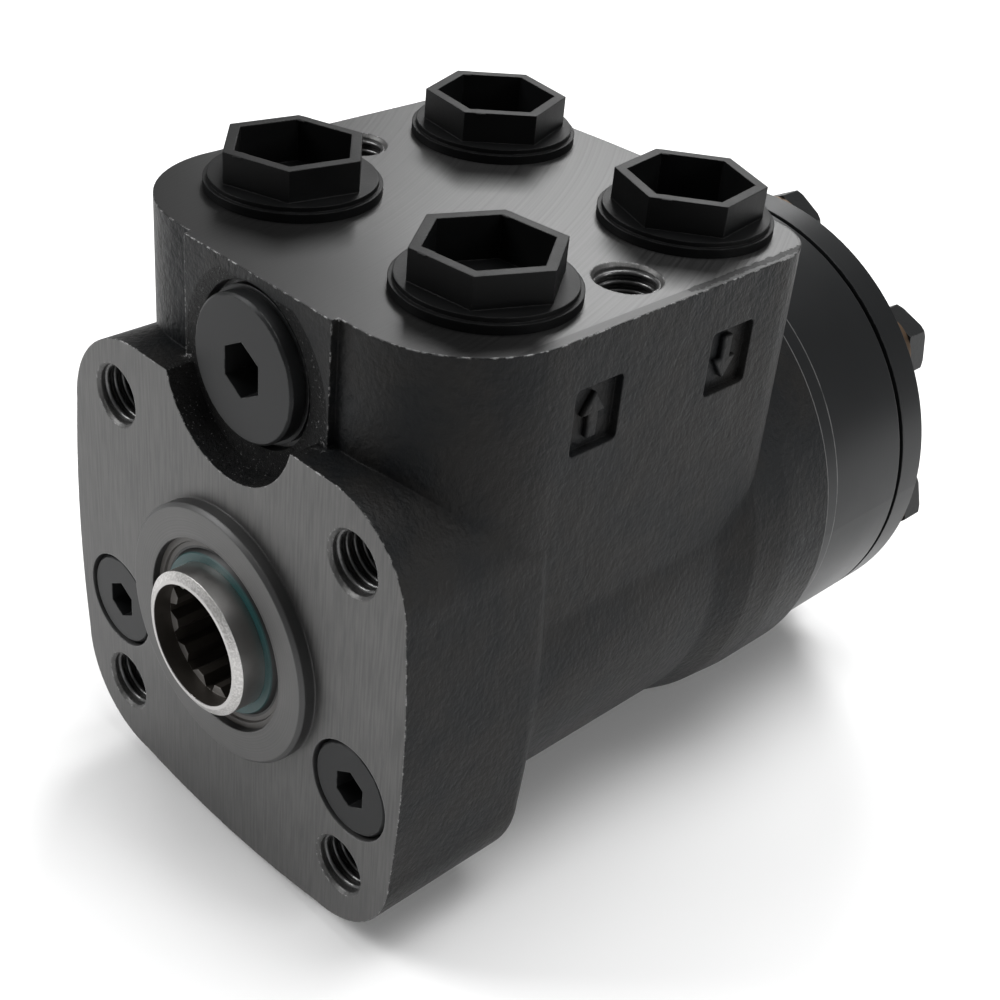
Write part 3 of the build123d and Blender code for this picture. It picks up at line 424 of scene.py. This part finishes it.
def thread_mesh(name, places, depth):
    """Helical ridges that run down from each place, turned as its rotation says."""
    turns = (depth - 2 * lead_in) / thread_pitch
    tree = Tree(name, Radius=thread_radius, Turns=turns, Run=depth - 2 * lead_in, Ridge=thread_height)
    helix = tree.node("GeometryNodeCurveSpiral", None, {
        "Resolution": 28, "Rotations": tree.size("Turns"), "Start Radius": tree.size("Radius"),
        "End Radius": tree.size("Radius"), "Height": tree.size("Run")})
    level_helix = tree.node("GeometryNodeSetCurveNormal", {"mode": "Z_UP"}, {0: helix})
    ridge = tree.node("GeometryNodeCurvePrimitiveCircle", None,
                      {"Resolution": 4, "Radius": tree.size("Ridge")})
    swept = tree.node("GeometryNodeCurveToMesh", None,
                      {"Curve": level_helix, "Profile Curve": ridge, "Fill Caps": True})
    joined = tree.tree.nodes.new("GeometryNodeJoinGeometry")
    for place, turn in places:
        sockets = {0: swept, "Translation": place, "Rotation": turn}
        set_down = tree.node("GeometryNodeTransform", None, sockets)
        tree.tree.links.new(set_down, joined.inputs[0])
    return tree.made(bright_thread, joined.outputs[0])


into_flange, into_port_face = (radians(-90), 0, 0), (radians(180), 0, 0)
column_places = [((side * bolt_offset, lead_in, level_side * bolt_offset), into_flange)
                 for side in (-1, 1) for level_side in (-1, 1)]
valve_places = [((side * valve_bolt_x, valve_bolt_y, port_face - lead_in), into_port_face)
                for side in (-1, 1)]
for name, places, depth in (("column_threads", column_places, column_hole_depth),
                            ("valve_threads", valve_places, valve_hole_depth)):
    mesh = thread_mesh(name, places, depth)
    new_piece(name, mesh, bright_thread, "housing_group")


# ---- Flow arrows ----------------------------------------------------------------------------------
# Raised arrows cast in the four sunk windows on the housing's sides, one beside each port, painted
# with the casting.

window_x, window_floor, window_height = 40.6 * mm, 1.5 * mm, 46.7 * mm
window_rows = (34.9 * mm, 64.9 * mm)
arrow_height, arrow_rise, arrow_round, arrow_root = 7.6 * mm, 1.0 * mm, 0.35 * mm, 0.1 * mm
arrow = [(-1.0, -0.5), (1.0, -0.5), (1.0, 0.02), (2.5, 0.02), (0, 0.5), (-2.5, 0.02), (-1.0, 0.02)]

arrow_shape = bmesh.new()
for side in (-1, 1):
    for row, points_up in zip(window_rows, (1, -1)):
        floor_x = side * (window_x - window_floor - arrow_root)
        corners = [(floor_x, row + across * mm, window_height + points_up * along * arrow_height)
                   for across, along in arrow]
        face = arrow_shape.faces.new([arrow_shape.verts.new(corner) for corner in corners])
        grown = bmesh.ops.extrude_face_region(arrow_shape, geom=[face])["geom"]
        lifted = [part for part in grown if isinstance(part, bmesh.types.BMVert)]
        bmesh.ops.translate(arrow_shape, verts=lifted, vec=(side * (arrow_rise + arrow_root), 0, 0))
bmesh.ops.recalc_face_normals(arrow_shape, faces=arrow_shape.faces)
bmesh.ops.bevel(arrow_shape, geom=arrow_shape.edges[:], offset=arrow_round, segments=3,
                affect="EDGES", profile=0.6)
arrow_mesh = bpy.data.meshes.new("flow_arrows")
arrow_shape.to_mesh(arrow_mesh)
arrow_mesh.polygons.foreach_set("use_smooth", [True] * len(arrow_mesh.polygons))
new_piece("flow_arrows", arrow_mesh, casting, "housing_group")


# ---- Bearing, shaft seal and dust seal ------------------------------------------------------------
# Ground races and a needle cage carry the sleeve behind the shaft seal. The green lip of the dust
# seal shows in the mouth of the flange, in a dull grey carrier ring.

ground = Finish("ground_steel")
lines = ground.noise(0.3 * mm, detail=2, stretch=(1, 0.05, 1))
haze = ground.noise(5 * mm, detail=4)
ground.set(Base_Color=ground.mix(haze, grey(0.3), grey(0.46)), Metallic=1.0,
           Roughness=0.24 + lines * 0.1 + haze * 0.1)
ground.relief(lines, 0.01 * mm)
dress(ground, "bearing_race_front", "bearing_race_rear")

brass = Finish("cage_brass")
bloom = brass.noise(2 * mm)
brass.set(Base_Color=brass.mix(bloom, (0.4, 0.26, 0.09, 1), (0.55, 0.38, 0.15, 1)), Metallic=1.0,
          Roughness=0.3 + bloom * 0.15)
brass.relief(bloom, 0.01 * mm)
dress(brass, "needle_cage")

rubber = Finish("black_rubber")
bloom = rubber.noise(2 * mm)
rubber.set(Base_Color=rubber.mix(bloom, grey(0.01), grey(0.022)), Roughness=0.5 + bloom * 0.15)
rubber.relief(bloom, 0.02 * mm)
dress(rubber, "shaft_seal", "seal_ring_housing", "seal_ring_gear_front", "seal_ring_gear_rear")

lip_radius, lip_edge = 13.7 * mm, 14.6 * mm
lip_rubber = Finish("dust_seal_rubber")
x, y, z = lip_rubber.xyz()
from_shaft = lip_rubber.length(x, z)
mottle = lip_rubber.noise(1.5 * mm)
lip_colour = lip_rubber.mix(mottle, (0.003, 0.035, 0.037, 1), (0.008, 0.06, 0.06, 1))
carrier_colour = lip_rubber.mix(mottle, grey(0.06, -0.15), grey(0.09, -0.15))
# Painted shade: a near-black ring between the green lip and the carrier stands for the shadowed gap around
# the lip.
lip_colour = lip_rubber.mix(from_shaft.rising(lip_radius, lip_radius + 0.15 * mm), lip_colour, grey(0.006))
lip_rubber.set(Base_Color=lip_rubber.mix(from_shaft > lip_edge, lip_colour, carrier_colour),
               Roughness=0.4 + mottle * 0.2)
lip_rubber.relief(mottle, 0.02 * mm)
dress(lip_rubber, "dust_seal")


# ---- Sleeve and spool -----------------------------------------------------------------------------
# Hardened steel, ground to a close fit. The spool's neck stands out of the flange, bright outside,
# and in its splined socket oily and painted darker as painted shade.

socket_radius, spool_nose = 10.33 * mm, 6.7 * mm
neck = Finish("spool_steel")
x, y, z = neck.xyz()
from_shaft = neck.length(x, z)
facing_x, facing_y, facing_z = neck.facing()
soft = neck.softened(0.2 * mm)
haze = neck.noise(4 * mm, detail=4)
peened = neck.noise(0.35 * mm, detail=2).rising(0.4, 0.65)
in_socket = (from_shaft < socket_radius) * (y > -spool_nose + 0.15 * mm)
teeth_front = in_socket * (facing_y < -0.9)
on_bevel = (facing_y < -0.3) * (facing_y > -0.9)
steel = neck.mix(haze * 0.6 + peened * on_bevel * 0.5, grey(0.32, -0.04), grey(0.58, -0.04))
# Painted shade: the socket is painted dark for its oil and for its shade; the tooth fronts that face out are
# lifted back to a mid grey.
steel = neck.mix(in_socket, steel, grey(0.035, -0.3))
steel = neck.mix(teeth_front * (haze * 0.3 + 0.7), steel, grey(0.26, -0.1))
neck.set(Base_Color=steel, Metallic=1 - in_socket * 0.5, Roughness=0.3 + haze * 0.12 + in_socket * 0.1)
neck.relief(peened * (on_bevel * 0.8 + 0.2), 0.02 * mm, soft)
dress(neck, "spool", "sleeve")

spring_steel = Finish("blued_spring_steel")
tint = spring_steel.noise(3 * mm)
spring_steel.set(Base_Color=spring_steel.mix(tint, grey(0.06, 0.3), grey(0.14, 0.2)), Metallic=0.9,
                 Roughness=0.28 + tint * 0.15)
spring_steel.relief(tint, 0.01 * mm)
dress(spring_steel, "spring_ring", "leaf_springs_flat", "leaf_spring_arched_left",
      "leaf_spring_arched_right", "relief_spring", "shock_spring_left", "shock_spring_right")
dress(ground, "cross_pin")


# ---- Cardan shaft, rotor and spacer ---------------------------------------------------------------
# Forged, hardened and ground inside the gear set, oil-wet and a little darker than the spool.

forged = Finish("hardened_steel")
scale_marks = forged.noise(2.5 * mm, detail=5)
fine = forged.noise(0.3 * mm)
forged.set(Base_Color=forged.mix(scale_marks, grey(0.16), grey(0.32, -0.06)), Metallic=1.0,
           Roughness=0.26 + scale_marks * 0.16)
forged.relief(fine, 0.01 * mm)
dress(forged, "cardan_shaft", "rotor", "rotor_spacer")


# ---- Gear set -------------------------------------------------------------------------------------
# Distributor plate, gear ring and end cover: turned steel, blacked as one stack, with fine lathe
# lines and two thin seams where the edges are rubbed bright.

first_seam, second_seam = 99.0 * mm, 103.4 * mm
blacked = Finish("blacked_steel")
x, y, z = blacked.xyz()
soft = blacked.softened(0.25 * mm)
lathe = blacked.rings(y, 0.3 * mm)
smudge = blacked.noise(16 * mm, detail=5)
rub = blacked.noise(4 * mm, detail=4).rising(0.35, 0.6)
seams = (abs(y - first_seam - 0.08 * mm) < 0.12 * mm) | (abs(y - second_seam) < 0.12 * mm)
seams = seams * (0.35 + rub * 0.65)
scuffs = blacked.edges(soft) * blacked.noise(2.5 * mm, detail=4).rising(0.45, 0.62) * 0.25
blacked.set(Base_Color=blacked.mix(seams * 0.55 | scuffs, grey(0.012, 0.12), grey(0.2)), Metallic=0.35,
            Roughness=0.27 + smudge * 0.16 + lathe * 0.05, Specular_IOR_Level=0.25)
blacked.relief(lathe, 0.012 * mm, soft)
dress(blacked, "distributor_plate", "gear_ring", "end_cover")


# ---- Cover screws ---------------------------------------------------------------------------------
# Seven cold-headed hexagon screws with a black oxide skin hold the gear set, each over a thin ring.

oxide = Finish("black_oxide")
soft = oxide.softened(0.35 * mm)
mill_skin = oxide.noise(0.7 * mm, detail=4)
scuffs = oxide.edges(soft) * oxide.noise(1.5 * mm, detail=4).rising(0.45, 0.6) * 0.5
oxide.set(Base_Color=oxide.mix(scuffs, grey(0.01, 0.1), grey(0.2)), Metallic=0.3,
          Roughness=0.34 + mill_skin * 0.14, Specular_IOR_Level=0.25)
oxide.relief(mill_skin, 0.03 * mm, soft)
dress(oxide, *[f"cover_screw_{number}" for number in range(1, 8)])

dull_washer = Finish("dull_copper_washer")
stain = dull_washer.noise(3 * mm)
dull_washer.set(Base_Color=dull_washer.mix(stain, (0.05, 0.035, 0.022, 1), (0.12, 0.075, 0.045, 1)),
                Metallic=0.8, Roughness=0.4 + stain * 0.2)
dull_washer.relief(stain, 0.01 * mm)
dress(dull_washer, "screw_washers")


# ---- Relief, check, shock and suction valves ------------------------------------------------------
# Black oxide plugs with turned faces and hexagon sockets close the valves; the seats, pistons and
# balls behind them are bright.

plug_black = Finish("turned_black_plug")
x, y, z = plug_black.xyz()
soft = plug_black.softened(0.3 * mm)
from_relief = plug_black.length(x, z - relief_height)
from_shock = plug_black.length(abs(x) - shock_offset, z + shock_drop)
is_relief = z > 20 * mm
swirl = plug_black.rings(is_relief * from_relief + (1 - is_relief) * from_shock, 0.25 * mm)
bloom = plug_black.noise(6 * mm, detail=4)
scuffs = plug_black.edges(soft) * plug_black.noise(1.5 * mm, detail=4).rising(0.45, 0.6) * 0.3
blacking = plug_black.mix(bloom, grey(0.010, 0.1), grey(0.018, 0.06))
plug_black.set(Base_Color=plug_black.mix(scuffs, blacking, grey(0.2)), Metallic=0.35,
               Roughness=0.36 + bloom * 0.12, Specular_IOR_Level=0.2)
plug_black.relief(swirl, 0.015 * mm, soft)
dress(plug_black, "relief_plug", "shock_plug_left", "shock_plug_right", "relief_washer", "shock_washer_left",
      "shock_washer_right")
dress(forged, "relief_adjuster", "relief_piston", "relief_seat", "check_bush", "shock_adjuster_left",
      "shock_adjuster_right", "suction_pin_left", "suction_pin_right")

polished = Finish("polished_ball_steel")
faint = polished.noise(1.2 * mm)
polished.set(Base_Color=polished.mix(faint, grey(0.5), grey(0.6)), Metallic=1.0,
             Roughness=0.08 + faint * 0.08)
polished.relief(faint, 0.003 * mm)
dress(polished, "check_ball", "shock_ball_left", "shock_ball_right", "suction_ball_left",
      "suction_ball_right")


# ---- Port plugs -----------------------------------------------------------------------------------
# Transport plugs moulded in satin black plastic, with softly rounded edges. The gate and the ejector
# leave small nibs on the rim, and a low rib crosses the floor of the cup.

plug_turns = (5.4, 38.2, 50.0, 18.1)
plug_places = [(port_spread, port_centre_y - port_spread), (port_spread, port_centre_y + port_spread),
               (-port_spread, port_centre_y + port_spread), (-port_spread, port_centre_y - port_spread)]
across_flats, plug_wall, plug_top, cup_floor = 20.9 * mm, 1.7 * mm, 68.0 * mm, 61.0 * mm
edge_round = 0.1 * mm
rib_width, rib_rise, rib_root = 1.3 * mm, 0.5 * mm, 0.1 * mm
nib_width, nib_rise, nib_sink = 1.6 * mm, 0.28 * mm, 0.02 * mm

plastic = Finish("satin_plastic")
soft = plastic.softened(0.25 * mm)
fine = plastic.noise(0.5 * mm, detail=3)
flow = plastic.noise(7 * mm, detail=3)
scuffs = plastic.edges(soft) * plastic.noise(2 * mm, detail=4).rising(0.4, 0.6)
moulded = plastic.mix(flow, grey(0.002, 0.1), grey(0.004, 0.1))
plastic.set(Base_Color=plastic.mix(scuffs * 0.5, moulded, grey(0.03)),
            Roughness=0.36 + flow * 0.15 + fine * 0.06, Specular_IOR_Level=0.1)
plastic.relief(fine * 0.4 + flow, 0.04 * mm, soft)


def block(shape, centre, size, turn):
    """Adds a box, turned about the vertical."""
    made = bmesh.ops.create_cube(shape, size=1)["verts"]
    bmesh.ops.scale(shape, verts=made, vec=size)
    bmesh.ops.rotate(shape, verts=made, cent=(0, 0, 0), matrix=Matrix.Rotation(turn, 3, "Z"))
    bmesh.ops.translate(shape, verts=made, vec=centre)


for number, ((plug_x, plug_y), turn) in enumerate(zip(plug_places, plug_turns), start=1):
    dress(plastic, f"port_plug_{number}")
    marks = bmesh.new()
    middle, along = Vector((plug_x, plug_y, 0)), radians(turn)
    for wall, slide in ((1, 0.22), (4, -0.16)):
        way = along + radians(60 * wall + 30)
        out, beside = Vector((cos(way), sin(way), 0)), Vector((-sin(way), cos(way), 0))
        spot = middle + out * (across_flats - plug_wall) / 2 + beside * across_flats * slide
        nib_middle = spot + Vector((0, 0, plug_top - nib_rise / 2 - nib_sink))
        block(marks, nib_middle, (plug_wall * 1.25, nib_width, nib_rise), way)
    rib_middle = middle + Vector((0, 0, cup_floor + rib_rise / 2 - rib_root))
    block(marks, rib_middle, (across_flats * 0.8, rib_width, rib_rise), along)
    bmesh.ops.bevel(marks, geom=marks.edges[:], offset=edge_round, segments=2,
                    affect="EDGES", profile=0.5)
    mesh = bpy.data.meshes.new(f"port_plug_{number}_marks")
    marks.to_mesh(mesh)
    new_piece(mesh.name, mesh, plastic, f"port_plug_{number}_group")
